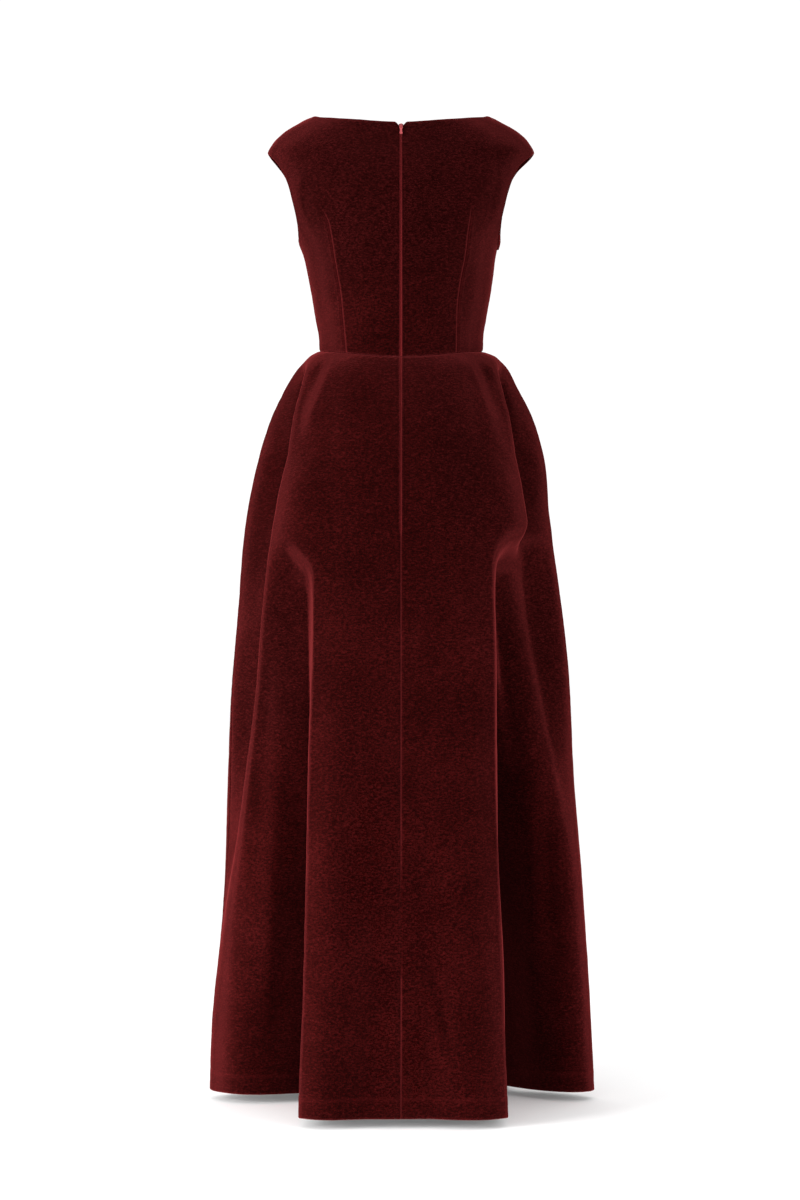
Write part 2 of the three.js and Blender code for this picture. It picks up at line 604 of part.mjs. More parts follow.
// Zip pull: a slim tab with a window at its top that the slider's ring passes through.
function pullGeometry() {
  const outline = new THREE.Shape();
  outline.moveTo(-2.3, 0.7);
  outline.lineTo(-2.3, -3.4);
  outline.quadraticCurveTo(-1.3, -5.2, -1.4, -7);
  outline.quadraticCurveTo(-1.6, -8.6, -2.1, -10);
  outline.absarc(0, -10.6, 2.18, Math.PI * 0.91, Math.PI * 2.09, false);
  outline.quadraticCurveTo(1.6, -8.6, 1.4, -7);
  outline.quadraticCurveTo(1.3, -5.2, 2.3, -3.4);
  outline.lineTo(2.3, 0.7);
  outline.closePath();
  const windowHalf = BAIL_WIDTH / 2 + 0.4;
  outline.holes.push(new THREE.Path([
    new THREE.Vector2(-windowHalf, -0.5),
    new THREE.Vector2(windowHalf, -0.5),
    new THREE.Vector2(windowHalf, -2.7),
    new THREE.Vector2(-windowHalf, -2.7),
  ]));
  return new THREE.ExtrudeGeometry(outline, {
    depth: PULL_THICK, bevelEnabled: false, curveSegments: 5,
  })
    .translate(0, 0, -PULL_THICK / 2)
    .rotateX(Math.PI / 2 - radians(PULL_TILT_DEG));
}

const gown = new THREE.Group();
const backHalf = bodiceHalf("back");
const frontHalf = bodiceHalf("front");
const backRight = settled(backHalf);
const frontLeft = mirrored(frontHalf);
const front = reversed(settled(frontHalf)).map((row, i) => [...row, ...frontLeft[i].slice(1)]);
const skirtRight = skirtPanel(0, SIDE_SEAM_ANGLE, BACK_SKIRT_COLUMNS);
const skirtLeft = skirtPanel(-SIDE_SEAM_ANGLE, 0, BACK_SKIRT_COLUMNS);
const skirtFront = skirtPanel(SIDE_SEAM_ANGLE, 360 - SIDE_SEAM_ANGLE, FRONT_SKIRT_COLUMNS);
gown.add(
  named("bodice_back_right", wallGeometry(backRight), VELVET),
  named("bodice_back_left", wallGeometry(reversed(mirrored(backHalf))), VELVET),
  named("bodice_front", wallGeometry(front), VELVET),
  named("skirt_back_right", wallGeometry(skirtRight), VELVET),
  named("skirt_back_left", wallGeometry(skirtLeft), VELVET),
  named("skirt_front", wallGeometry(skirtFront), VELVET),
  named("zip_tape_right", wallGeometry(tapeGrid(backRight, skirtRight)), TAPE_CLOTH),
  named("zip_tape_left", wallGeometry(
    reversed(mirrored(tapeGrid(backHalf, mirrored(reversed(skirtLeft)))))), TAPE_CLOTH),
  named("zip_slider", sliderGeometry(), ENAMEL),
);

const pull = named("zip_pull", pullGeometry(), ENAMEL);
pull.position.set(0, pullAxisY, PULL_AXIS_Z);
gown.add(pull);

export default gown;
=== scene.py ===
"""A floor-length velvet gown, seen from its back: cloth, seams, zip, materials, light and camera.

The cloth follows the same named sizes as the solids, in millimetres here and in metres in Blender.
The back of the gown faces -Y, +X is the wearer's right, and the origin is at the shoulders' tops.
"""

import math

import bpy
import numpy as np
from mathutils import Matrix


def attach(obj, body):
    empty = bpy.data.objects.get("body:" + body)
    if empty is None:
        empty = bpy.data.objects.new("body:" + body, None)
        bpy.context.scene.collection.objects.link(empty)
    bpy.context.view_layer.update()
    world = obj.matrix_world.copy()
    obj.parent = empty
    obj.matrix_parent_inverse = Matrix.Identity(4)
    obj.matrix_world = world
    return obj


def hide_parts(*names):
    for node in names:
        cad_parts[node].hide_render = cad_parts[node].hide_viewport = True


MM = 0.001

# Thickness of the velvet, how far in its edge rounds off, and how finely the panels are divided
CLOTH = 1.5
EDGE_ROUND = 1.7
BODICE_COLUMN_STEP = 3.6
BODICE_ROW_STEP = 3.8
SKIRT_ROW_STEP = 4.6

# Seam allowances: thickness, edge, how far inside the cloth they lie, and half width in degrees
ALLOWANCE = 0.8
ALLOWANCE_EDGE = 0.6
ALLOWANCE_INSET = 1.1
SKIRT_ALLOWANCE_ANGLE = 2.4
BODICE_ALLOWANCE_ANGLE = 3

# The zip: its tapes lie inside the back, and its coils run down their edges
ZIP_TOP_Z = -34
ZIP_END_Z = -628
TAPE = 0.7
TAPE_EDGE = 0.5
TAPE_INSET = 2.5
TAPE_END_Z = -615.0
TAPE_ROW_STEP = 3.0
TAPE_COLUMNS = np.array([0.9, 1.3, 1.9, 2.6, 4, 6, 8, 10, 11.4, 12.2, 12.8])
COIL_END_Z = -610.0
COIL_PITCH = 1.4
COIL_SIDES = 6
COIL_DEPTH = 1.5
# One loop of a coil: distance out from the seam, and radius
COIL_LOOP = [(0.2, 0.25), (0.9, 0.55), (1.8, 0.45), (2.9, 0.3)]
COIL_LOCK = 0.6

WAIST_Z = -346
HEM_Z = -1446
HIP_Z = -500
BACK_WAIST_DIP = 15
DIP_FADE = 230
SHOULDER_TIP_Z = -55
UNDERARM_Z = -196
# The front's armhole is cut 8 mm deeper than in the solids, so that it hides behind the back's
ARMHOLE_REACH = {"back": 52, "front": 55}
NECK_DROP = {"back": 20, "front": 64}
NECK_CURVE = {"back": 1.8, "front": 2.2}
NECK_CORNER_HOLD = {"back": 0.7, "front": 0}
NECK_CORNER_SHARE = 0.3
NOTCH_DEPTH = {"back": 8.5, "front": 0}
SIDE_SEAM_ANGLE = 97
NOTCH_SHARE = 0.045
DART_SHARE = 0.578
NECK_SHARE = 0.72
UNDERARM_SHARE = 0.43
DART_TOP_Z = {"back": -135, "front": -215}
HEM_FOLD = 31
FOLD_LIP = 0.1
FOLD_LIP_DROP = 36
FOLD_ARCH_SPAN = 30

# Horizontal sections: height, half width, reach at the back and at the front, squareness
BODICE_SECTIONS = np.array([
    (WAIST_Z, 121, 88, 90, 2.15),
    (-328, 121.5, 88, 92, 2.15),
    (-300, 126, 90, 99, 2.15),
    (-270, 131.5, 94, 110, 2.2),
    (-240, 137, 99, 122, 2.2),
    (-211, 142.5, 103, 129, 2.2),
    (UNDERARM_Z, 147, 105, 129, 2.2),
    (-166, 160, 107, 124, 2.2),
    (-137, 174, 106.5, 115, 2.2),
    (-107, 184, 104, 105, 2.2),
    (-78, 191, 98, 95, 2.2),
    (SHOULDER_TIP_Z, 197, 91, 86, 2.2),
    (-39, 189, 86, 80, 2.2),
    (-23, 173, 81, 74, 2.2),
    (-12.6, 155, 78, 70, 2.2),
    (-5, 139, 76, 67, 2.2),
    (0, 122, 75, 65, 2.2),
])

# The right side of the bodice is a little narrower: height and share taken off
RIGHT_SIDE_SETTLE = np.array([
    (WAIST_Z, 0), (-270, 0), (-211, 0.02), (-186, 0.034), (-137, 0.036), (-78, 0.028),
    (SHOULDER_TIP_Z, 0),
])

SKIRT_SECTIONS = np.array([
    (HEM_Z, 288, 190, 214, 2.4),
    (-1395, 286, 187, 211, 2.4),
    (-1247, 275, 178, 200, 2.35),
    (-1099, 264.5, 170, 188, 2.3),
    (-951, 255, 163, 175, 2.3),
    (-803, 244, 157, 161, 2.25),
    (-655, 230.5, 150, 145, 2.2),
    (-566, 218, 142, 134, 2.2),
    (-506, 207, 134, 125, 2.15),
    (-447, 192, 122, 115, 2.15),
    (-418, 180.5, 114, 109, 2.15),
    (-380, 160.5, 102, 101, 2.15),
    (-365, 149, 96.5, 97, 2.15),
    (-353, 135, 91, 92.5, 2.15),
    (WAIST_Z, 121, 88, 90, 2.15),
])

# Deep folds, as in the solids: the cloth leaves the outline at the ridge and comes back by end
DEEP_FOLDS = [
    dict(side=-1, ridge_top=43.5, ridge_hem=38, rise=5, rise_low=4.5, end_top=66, end_hem=122,
         fall_top=1.2, fall=1.5, pull_in=30, pull_forward=205,
         start=-654, slant=30, arch=2.4, growth=0.75),
    dict(side=1, ridge_top=45, ridge_hem=39.5, rise=10.5, rise_low=5.5, end_top=118, end_hem=122,
         fall_top=1.1, fall=2.1, pull_in=26, pull_forward=292,
         start=-638, slant=32, arch=1, growth=0.75),
    dict(side=-1, ridge_top=139, ridge_hem=144, rise=-12, rise_low=-12, end_top=112, end_hem=78,
         fall_top=1.6, fall=1.6, pull_in=26, pull_forward=-95,
         start=-615, slant=10, arch=1, growth=0.8),
    dict(side=1, ridge_top=138, ridge_hem=143, rise=-12, rise_low=-12, end_top=90, end_hem=80,
         fall_top=1.7, fall=1.7, pull_in=24, pull_forward=-88,
         start=-600, slant=20, arch=1, growth=0.8),
]

# Swells and troughs: side, centre at waist, hip and hem, half spans towards the back and the
# front, out, start, full, fade, end
SWELLS = [
    (-1, 84, 78, 97, 18, 14, -47, -347, -425, -790, -1360),
    (1, 84.5, 79, 80, 18, 14, -47, -347, -425, -700, -1150),
    (1, 61.5, 61, 62, 16.5, 18, -45, -598, -678, -700, -1150),
    (-1, 97, 97, 97, 26, 26, 7, -350, -600, -1446, -1500),
    (-1, 99, 99, 99, 26, 26, 7, -700, -900, -1150, -1446),
    (1, 97, 97, 97, 24, 24, 7, -350, -470, -500, -590),
    (1, 99, 99, 96, 26, 26, 7, -600, -820, -1446, -1500),
    (1, 92, 92, 92, 34, 34, 5, -346, -354, -366, -400),
    (-1, 61, 60, 58, 8, 8, -6, -348, -380, -410, -500),
    (1, 61, 60, 60, 8, 8, -5, -348, -380, -410, -500),
    (-1, 114, 114, 112, 14, 14, -38, -347, -430, -700, -1150),
    (1, 113, 112, 110, 14, 14, -36, -347, -430, -640, -1000),
    (-1, 27, 27, 29, 19, 19, 17, -640, -1446, -1446, -1500),
    (1, 28, 28, 30, 19, 19, 18, -640, -1446, -1446, -1500),
    (-1, 156, 156, 153, 20, 20, 12, -640, -1446, -1446, -1500),
    (1, 155, 155, 152, 20, 20, 12, -640, -1446, -1446, -1500),
    (-1, 52, 52, 50, 16, 16, 7, -470, -575, -590, -700),
    (1, 54, 54, 52, 16, 16, 7, -470, -575, -590, -700),
]

# The back darts' lines: height and distance from the centre, on each side
DART_LINES = {
    -1: np.array([(WAIST_Z, 81), (-332, 82), (-273, 88), (-214, 97), (-167, 106), (-140, 122)]),
    1: np.array([(WAIST_Z, 82), (-287, 83), (-244, 88), (-214, 94), (-182, 98), (-140, 104)]),
}

# Soft creases pressed into the cloth. Each follows a line of (x, z) on one face, in
# millimetres, with its half width and how far it stands out (or in, below 0) at its middle.
CREASES = [
    dict(face="back", line=[(-126, -352), (-130, -420), (-136, -470)], width=7, out=1.6),
    dict(face="back", line=[(-137, -352), (-148, -400), (-160, -450), (-170, -520)], width=9, out=1.6),
    dict(face="back", line=[(132, -350), (135, -385), (134, -430)], width=7, out=1.6),
    dict(face="back", line=[(143, -352), (156, -400), (165, -440), (178, -500)], width=9, out=1.4),
    dict(face="back", line=[(-92, -375), (-101, -450), (-106, -540)], width=12, out=-1.2),
    dict(face="back", line=[(100, -370), (110, -440), (116, -520)], width=12, out=-1.2),
    dict(face="back", line=[(-146, -92), (-149, -125), (-143, -185)], width=7, out=1.2),
    dict(face="back", line=[(149, -92), (144, -140), (138, -185)], width=7, out=1.2),
    dict(face="back", line=[(18, -1205), (30, -1250), (43, -1282), (54, -1330), (59, -1385)],
         width=7, out=2.4),
    dict(face="back", line=[(34, -1205), (47, -1250), (60, -1290), (72, -1390)], width=9, out=-1.8),
    dict(face="back", line=[(-60, -700), (-68, -950), (-72, -1250)], width=20, out=-1.6),
    dict(face="back", line=[(72, -690), (78, -900), (84, -1120)], width=18, out=-1.4),
    dict(face="back", line=[(-190, -760), (-205, -950), (-222, -1150)], width=14, out=-2.0),
    dict(face="back", line=[(-176, -900), (-190, -1150), (-205, -1420)], width=13, out=2.2),
    dict(face="back", line=[(205, -820), (216, -1050), (228, -1300)], width=14, out=-2.2),
    dict(face="back", line=[(186, -1000), (196, -1200), (204, -1420)], width=13, out=2.0),
    dict(face="front", line=[(-98, -372), (-106, -450), (-112, -540)], width=11, out=-1.5),
    dict(face="front", line=[(96, -372), (104, -450), (112, -560)], width=11, out=-1.5),
    dict(face="front", line=[(-48, -700), (-56, -1000), (-64, -1380)], width=22, out=-2.4),
    dict(face="front", line=[(52, -760), (60, -1050), (66, -1400)], width=22, out=-2.4),
    dict(face="front", line=[(8, -900), (4, -1150), (0, -1430)], width=18, out=1.8),
    dict(face="front", line=[(-60, -232), (-66, -290), (-70, -344)], width=9, out=-0.8),
    dict(face="front", line=[(60, -232), (66, -290), (70, -344)], width=9, out=-0.8),
]

# Soft boxes: name, watts, width, height, place in metres, turn and spread in degrees
LIGHTS = [
    ("key", 205, 1.4, 2.6, (-3.0, -2.0, -0.75), -56, 180),
    ("fill", 36, 1.4, 2.2, (3.0, -2.2, -0.85), 54, 180),
    ("low_key", 15, 0.8, 0.4, (-3.3, -0.9, -1.3), -74, 40),
    ("low_fill", 10, 0.8, 0.4, (3.3, -0.9, -1.3), 74, 40),
]
SKY_STRENGTH = 1.08
CAMERA_PLACE = (-0.0015, -4.0, -0.7141)
CAMERA_LENS = 81.08
CAMERA_SENSOR = 36
FLOOR_SIZE = 60
FLOOR_GAP = 14

# Distances from a seam, in millimetres, where the cloth is divided more finely
FINE = np.array([0, 0.35, 0.8, 1.3, 1.9, 2.6, 3.4, 4.4, 5.8, 7.6, 10])
FINE_MIDDLE = FINE[:9]
FINE_EDGE = np.array([0, 0.3, 0.8, 1.7, 3.4, 6])


def ease(t):
    """0 below 0 and 1 above 1, with a smooth rise between them."""
    t = np.clip(t, 0, 1)
    return t * t * (3 - 2 * t)


def curve_through(x, y, at):
    """A smooth curve through a table's rows, without overshoot between them."""
    order = np.argsort(x)
    x, y = np.asarray(x, float)[order], np.asarray(y, float)[order]
    secant = np.diff(y) / np.diff(x)
    before, after = secant[:-1], secant[1:]
    product = before * after
    safe = np.where(product > 0, before + after, 1)
    inner = np.where(product > 0, 2 * product / safe, 0)
    slope = np.concatenate([secant[:1], inner, secant[-1:]])
    held = np.clip(at, x[0], x[-1])
    i = np.clip(np.searchsorted(x, held, side="left") - 1, 0, len(x) - 2)
    width = x[i + 1] - x[i]
    t = (held - x[i]) / width
    start = (1 + 2 * t) * (1 - t) ** 2 * y[i] + t * (1 - t) ** 2 * width * slope[i]
    end = t * t * (3 - 2 * t) * y[i + 1] + t * t * (t - 1) * width * slope[i + 1]
    return start + end


def section_radius(table, angle, z, face_is_back):
    """Distance of a rounded section from the axis, at an angle from its face's centre."""
    half = curve_through(table[:, 0], table[:, 1], z)
    back = curve_through(table[:, 0], table[:, 2], z)
    front = curve_through(table[:, 0], table[:, 3], z)
    square = curve_through(table[:, 0], table[:, 4], z)
    reach = np.where(face_is_back, back, front)
    turn = np.radians(angle)
    sideways = np.abs(np.sin(turn)) / half
    endways = np.abs(np.cos(turn)) / reach
    return (sideways**square + endways**square) ** (-1 / square)


def waist_dip(angle_from_back, z):
    """The waist seam hangs lower at the centre back, fading above and below."""
    at_back = np.maximum(0, np.cos(np.radians(angle_from_back))) ** 1.5
    return BACK_WAIST_DIP * at_back * np.clip(1 - np.abs(z - WAIST_Z) / DIP_FADE, 0, 1) ** 2


def bodice_point(face, side, angle, z):
    """A point of the bodice: side is 1 for the wearer's right, angle is from the face's centre."""
    back = face == "back"
    radius = section_radius(BODICE_SECTIONS, angle, z, back)
    turn = np.radians(angle)
    x = radius * np.sin(turn)
    if side > 0:
        x = x * (1 - curve_through(RIGHT_SIDE_SETTLE[:, 0], RIGHT_SIDE_SETTLE[:, 1], z))
    y = (-1 if back else 1) * radius * np.cos(turn)
    return np.stack([side * x, y, z - waist_dip(angle if back else 180 - angle, z)], -1)


def swell_at(side, angle, z):
    """How far the swells and troughs move the skirt out from its section."""
    out = np.zeros(np.broadcast(angle, z).shape)
    for which, waist, hip, hem, behind, before, height, start, full, fade, end in SWELLS:
        upper = waist + (hip - waist) * (WAIST_Z - z) / (WAIST_Z - HIP_Z)
        lower = hip + (hem - hip) * (HIP_Z - z) / (HIP_Z - HEM_Z)
        away = angle - np.where(z > HIP_Z, upper, lower)
        away = np.abs(away) / np.where(away < 0, behind, before)
        grown = ease((start - z) / (start - full)) * (1 - ease((fade - z) / (fade - end)))
        bump = height * grown * np.cos(np.clip(away, 0, 1) * np.pi / 2) ** 2
        out += np.where(side == which, bump, 0)
    return out


def fold_share(fold, angle, z):
    """How far a deep fold has pulled the cloth in, from 0 to about 1."""
    beyond = np.clip((angle - fold["ridge_top"]) / np.sign(fold["rise"]) / FOLD_ARCH_SPAN, 0, 1)
    start = fold["start"] + fold["slant"] * ease(beyond * fold["arch"])
    drop = np.maximum(start - z, 0)
    down = np.clip(drop / (start - HEM_Z), 0, 1)
    ridge = fold["ridge_top"] + (fold["ridge_hem"] - fold["ridge_top"]) * down
    end = fold["end_top"] + (fold["end_hem"] - fold["end_top"]) * ease(down / 0.35)
    across = (angle - ridge) / (end - ridge)
    inside = (down > 0) & (across > 0) & (across < 1)
    rise = fold["rise"] + (fold["rise_low"] - fold["rise"]) * ease(down / 0.12)
    turn_in = ease((angle - ridge) / rise)
    fall = fold["fall_top"] + (fold["fall"] - fold["fall_top"]) * ease(down / 0.3)
    fading = np.clip(1 - across, 0, 1) ** fall
    depth = FOLD_LIP * ease(drop / FOLD_LIP_DROP)
    depth = depth + (1 - FOLD_LIP) * down ** fold["growth"] * ease(down / 0.08)
    return np.where(inside, depth * turn_in * fading, 0)


def skirt_point(turn, z):
    """A point of the skirt: degrees round from the centre back, towards the wearer's right."""
    wrapped = np.where(turn > 180, turn - 360, turn)
    side = np.where(wrapped < 0, -1, 1)
    angle = np.abs(wrapped)
    radius = section_radius(SKIRT_SECTIONS, angle, z, angle < 90) + swell_at(side, angle, z)
    x = side * radius * np.sin(np.radians(angle))
    y = -radius * np.cos(np.radians(angle))
    for fold in DEEP_FOLDS:
        share = fold_share(fold, angle, z) * (side == fold["side"])
        x = x - side * fold["pull_in"] * share
        y = y + fold["pull_forward"] * share
    return np.stack([x, y, z - waist_dip(angle, z)], -1)


def grid_normals(points, outward):
    """Unit normals of a grid of points: outward is 1 or -1, after the way its columns run."""
    across = np.gradient(points, axis=1)
    along = np.gradient(points, axis=0)
    normal = np.cross(across, along) * outward
    return normal / np.maximum(np.linalg.norm(normal, axis=-1, keepdims=True), 1e-9)


def lengths(points, axis):
    """Distance travelled along a grid's rows or columns."""
    step = np.linalg.norm(np.diff(points, axis=axis), axis=-1)
    pad = [(1, 0), (0, 0)] if axis == 0 else [(0, 0), (1, 0)]
    return np.pad(np.cumsum(step, axis=axis), pad)


def ripple(points, size, seed):
    """Smooth unevenness from two sizes of five crossed waves each, between about -1 and 1."""
    draw = np.random.default_rng(seed)
    total = np.zeros(points.shape[:-1])
    for octave in range(2):
        for _ in range(5):
            heading = draw.normal(size=3)
            heading /= np.linalg.norm(heading)
            phase = draw.uniform(0, 2 * np.pi)
            wave = np.sin(points @ heading * (2 * np.pi / size * 1.9**octave) + phase)
            total += wave / 2.4 / 1.8**octave
    return total


def crease_offset(points, normals):
    """How far the listed creases lift or sink each point."""
    out = np.zeros(points.shape[:-1])
    for crease in CREASES:
        across, heights = np.array(crease["line"], float).T
        z = points[..., 2]
        x = curve_through(heights, across, z)
        top, low = heights.max(), heights.min()
        length = top - low
        along = ease((top - z) / (0.25 * length)) * ease((z - low) / (0.3 * length))
        facing = -normals[..., 1] if crease["face"] == "back" else normals[..., 1]
        slant = np.clip(facing, 0.25, 1)
        away = (points[..., 0] - x) / (crease["width"] / slant)
        out += crease["out"] * np.exp(-away * away) * along * ease(facing / 0.3)
    return out


def add_mesh(name, points, faces, painted_highlight=None):
    """A smooth mesh in the scene, with a share of painted highlight at each point, for edges that
    catch the light.
    """
    mesh = bpy.data.meshes.new(name)
    mesh.from_pydata(points.tolist(), [], faces.tolist())
    if painted_highlight is not None:
        mesh.attributes.new("painted_highlight", "FLOAT", "POINT").data.foreach_set("value", painted_highlight)
    mesh.polygons.foreach_set("use_smooth", np.ones(len(mesh.polygons), bool))
    obj = bpy.data.objects.new(name, mesh)
    bpy.context.scene.collection.objects.link(obj)
    return obj


def grid_faces(rows, columns):
    index = np.arange(rows * columns).reshape(rows, columns)
    corners = [index[:-1, :-1], index[:-1, 1:], index[1:, 1:], index[1:, :-1]]
    return np.stack([c.ravel() for c in corners], -1)


def shell(name, points, normals, outer, thickness=CLOTH, edge_round=EDGE_ROUND, painted_highlight=None):
    """A closed thin cloth from a grid: both faces meet half way in along the whole border."""
    if painted_highlight is None:
        painted_highlight = np.zeros(points.shape[:2])
    rows, columns = points.shape[:2]
    run, rise = lengths(points, 1), lengths(points, 0)
    edge = np.minimum(np.minimum(run, run[:, -1:] - run), np.minimum(rise, rise[-1:] - rise))
    turned = 1 - np.clip(edge / edge_round, 0, 1)
    roll = thickness / 2 * (1 - np.sqrt(1 - turned**2))
    front = points + normals * (outer - roll)[..., None]
    back = points + normals * (outer - thickness + roll)[..., None]
    faces = grid_faces(rows, columns)
    inner = rows * columns + np.arange(rows * columns).reshape(rows, columns)
    border = np.zeros((rows, columns), bool)
    border[[0, -1]] = True
    border[:, [0, -1]] = True
    inner[border] = np.arange(rows * columns).reshape(rows, columns)[border]
    under = inner.ravel()[faces][:, ::-1]
    both = np.concatenate([front.reshape(-1, 3), back.reshape(-1, 3)])
    every = np.concatenate([faces, under])
    used, renumbered = np.unique(every, return_inverse=True)
    # Each kept point's painted highlight, the same on both faces of the cloth.
    point_highlight = np.tile(painted_highlight.ravel(), 2)[used]
    return add_mesh(name, both[used] * MM, renumbered.reshape(every.shape), point_highlight)


def marks(length, step, near, far, *middles):
    """Places along a line: fine near both ends and round each middle, and even between them."""
    fine = [near, length - far]
    for middle in middles:
        fine += [middle + FINE_MIDDLE, middle - FINE_MIDDLE]
    fine = np.unique(np.clip(np.concatenate(fine), 0, length).round(4))
    even = np.linspace(0, length, max(2, round(length / step)) + 1)
    apart = np.abs(even[:, None] - fine[None, :]).min(axis=1)
    return np.sort(np.concatenate([fine, even[apart > step * 0.45]]))


def line(distance, width):
    """1 on a line, fading to 0 beside it."""
    return np.exp(-((distance / width) ** 2))


def groove(distance, depth, width):
    """A pressed line, deepest where the distance is 0."""
    return -depth * line(distance, width)


def pucker(along, distance, seed):
    """Small gathers where the stitches draw the cloth in beside a seam."""
    draw = np.random.default_rng(seed)
    phase, drift = draw.uniform(0, 6.28, 2)
    wave = np.sin(along / 2.1 + phase + 1.6 * np.sin(along / 17 + drift))
    return 0.16 * wave * np.exp(-distance / 7)


def lip(distance):
    """The rolled lip of cloth beside the closed zip, with its sewn line next to it."""
    return 0.95 * line(distance - 1.3, 1.1) + groove(distance - 4.1, 0.55, 1.0)


def bodice_top(face, u):
    """Angle and height along the neck edge and the shoulder, from the centre outwards."""
    heights, halves = BODICE_SECTIONS[:, 0], BODICE_SECTIONS[:, 1]
    shoulder = heights >= SHOULDER_TIP_Z
    neck_half = curve_through(heights, halves, 0)
    tip_half = curve_through(heights, halves, SHOULDER_TIP_Z)
    half = neck_half + (tip_half - neck_half) * (u - NECK_SHARE) / (1 - NECK_SHARE)
    shoulder_z = curve_through(halves[shoulder], heights[shoulder], half)
    bend = np.clip(u / NECK_SHARE, 0, 1)
    corner = ease((bend - 1 + NECK_CORNER_SHARE) / NECK_CORNER_SHARE)
    neck_z = -NECK_DROP[face] * (1 - bend ** NECK_CURVE[face]) * (1 - NECK_CORNER_HOLD[face] * corner)
    neck_z -= NOTCH_DEPTH[face] * np.clip(1 - u / NOTCH_SHARE, 0, 1)
    return 90 * bend, np.where(u > NECK_SHARE, shoulder_z, neck_z)


def bodice_side(face, v):
    """Angle and height up the side seam and then round the armhole, half an oval."""
    heights = BODICE_SECTIONS[:, 0]
    on_seam = v <= UNDERARM_SHARE
    seam_z = WAIST_Z + (UNDERARM_Z - WAIST_Z) * v / UNDERARM_SHARE
    swing = np.radians(-90 + 180 * np.clip((v - UNDERARM_SHARE) / (1 - UNDERARM_SHARE), 0, 1))
    middle, half_height = (UNDERARM_Z + SHOULDER_TIP_Z) / 2, (SHOULDER_TIP_Z - UNDERARM_Z) / 2
    arm_z = middle + half_height * np.sin(swing)
    inset = ARMHOLE_REACH[face] * np.cos(swing)
    half = curve_through(heights, BODICE_SECTIONS[:, 1], arm_z)
    reach = curve_through(heights, BODICE_SECTIONS[:, 2 if face == "back" else 3], arm_z)
    square = curve_through(heights, BODICE_SECTIONS[:, 4], arm_z)
    there = half * (1 - np.clip(inset / reach, 0, 1) ** square) ** (1 / square)
    arm_angle = 90 - np.degrees(np.arctan2(inset, there))
    return np.where(on_seam, 90, arm_angle), np.where(on_seam, seam_z, arm_z)


def bodice_place(face, side, u, v):
    """Point and height of a half panel, from shares of its width and height, by its four edges."""
    top_angle, top_z = bodice_top(face, u)
    side_angle, side_z = bodice_side(face, v)
    centre_top = bodice_top(face, np.zeros(1))[1][0]
    rise = v * v
    angle = (1 - rise) * 90 * u + rise * top_angle + u * side_angle - 90 * u
    centre_z = WAIST_Z + (centre_top - WAIST_Z) * v
    z = (1 - v) * WAIST_Z + v * top_z + (1 - u) * centre_z + u * side_z
    z -= (1 - v) * WAIST_Z + v * ((1 - u) * centre_top + u * SHOULDER_TIP_Z)
    return bodice_point(face, side, angle, z), z


def follow_dart(side, u, points, z, column):
    """Shifts the columns of a back panel sideways, so that one runs down its dart."""
    line_z, line_x = DART_LINES[side].T
    wanted = curve_through(line_z, line_x, z[:, column])
    found = [np.interp(x, np.abs(row[:, 0]), share) for x, row, share in zip(wanted, points, u)]
    shift = (np.array(found) - u[:, column]) * ease((-90 - z[:, column]) / 50)
    tent = np.minimum(u / DART_SHARE, (1 - u) / (1 - DART_SHARE))
    return u + shift[:, None] * tent


def bodice_grid(face, side):
    """Half a bodice panel, columns from the centre to the side and rows from the waist up."""
    width, height = 152.0, 346.0
    middles = DART_SHARE * width, NECK_SHARE * width
    u = marks(width, BODICE_COLUMN_STEP, FINE, FINE, *middles) / width
    v = marks(height, BODICE_ROW_STEP, FINE, FINE_EDGE, UNDERARM_SHARE * height) / height
    column = np.argmin(np.abs(u - DART_SHARE))
    u, v = np.meshgrid(u, v)
    points, z = bodice_place(face, side, u, v)
    if face == "back":
        u = follow_dart(side, u, points, z, column)
        points, z = bodice_place(face, side, u, v)
    outward = side if face == "back" else -side
    return points, grid_normals(points, outward), column, z


def bodice_relief(face, points, normals, column, z):
    """Relief of half a bodice panel, and the painted highlight along its seams and edges."""
    run, rise = lengths(points, 1), lengths(points, 0)
    centre, outside = run, run[:, -1:] - run
    top = rise[-1:] - rise
    out = crease_offset(points, normals)
    out += 0.35 * ripple(points, 75, 11) + 0.12 * ripple(points, 19, 12)
    dart = np.abs(run - run[:, column : column + 1])
    sewn = ease((DART_TOP_Z[face] - z) / 45)
    out += sewn * (groove(dart, 1.15, 1.5) + 0.35 * line(dart - 4, 2.2))
    out += sewn * 0.6 * pucker(rise, dart, 13)
    out += groove(rise, 0.7, 2.4) + pucker(run, rise, 14)
    side_sewn = points[..., 2] < UNDERARM_Z
    out += side_sewn * (groove(outside, 0.6, 2.2) + pucker(rise, outside, 15))
    out += 0.3 * line(top - 5, 4)
    # Painted highlight: a brighter red along the waist seam, darts, top edge, side seam, armhole and
    # zip lips, for light caught there.
    painted_highlight = 0.12 * line(rise, 1.4) + 0.2 * sewn * line(dart - 1.6, 1.3) + 0.3 * line(top, 1.6)
    painted_highlight += 0.5 * np.where(side_sewn, 0.3, 1) * line(outside, 1.6)
    if face == "back":
        out += lip(centre)
        painted_highlight += line(centre, 1.6)
    return out, painted_highlight


def join_halves(left, right):
    """A left and a right half of one panel, joined at their shared middle column."""
    return [np.concatenate([a[:, ::-1], b[:, 1:]], 1) for a, b in zip(left, right)]


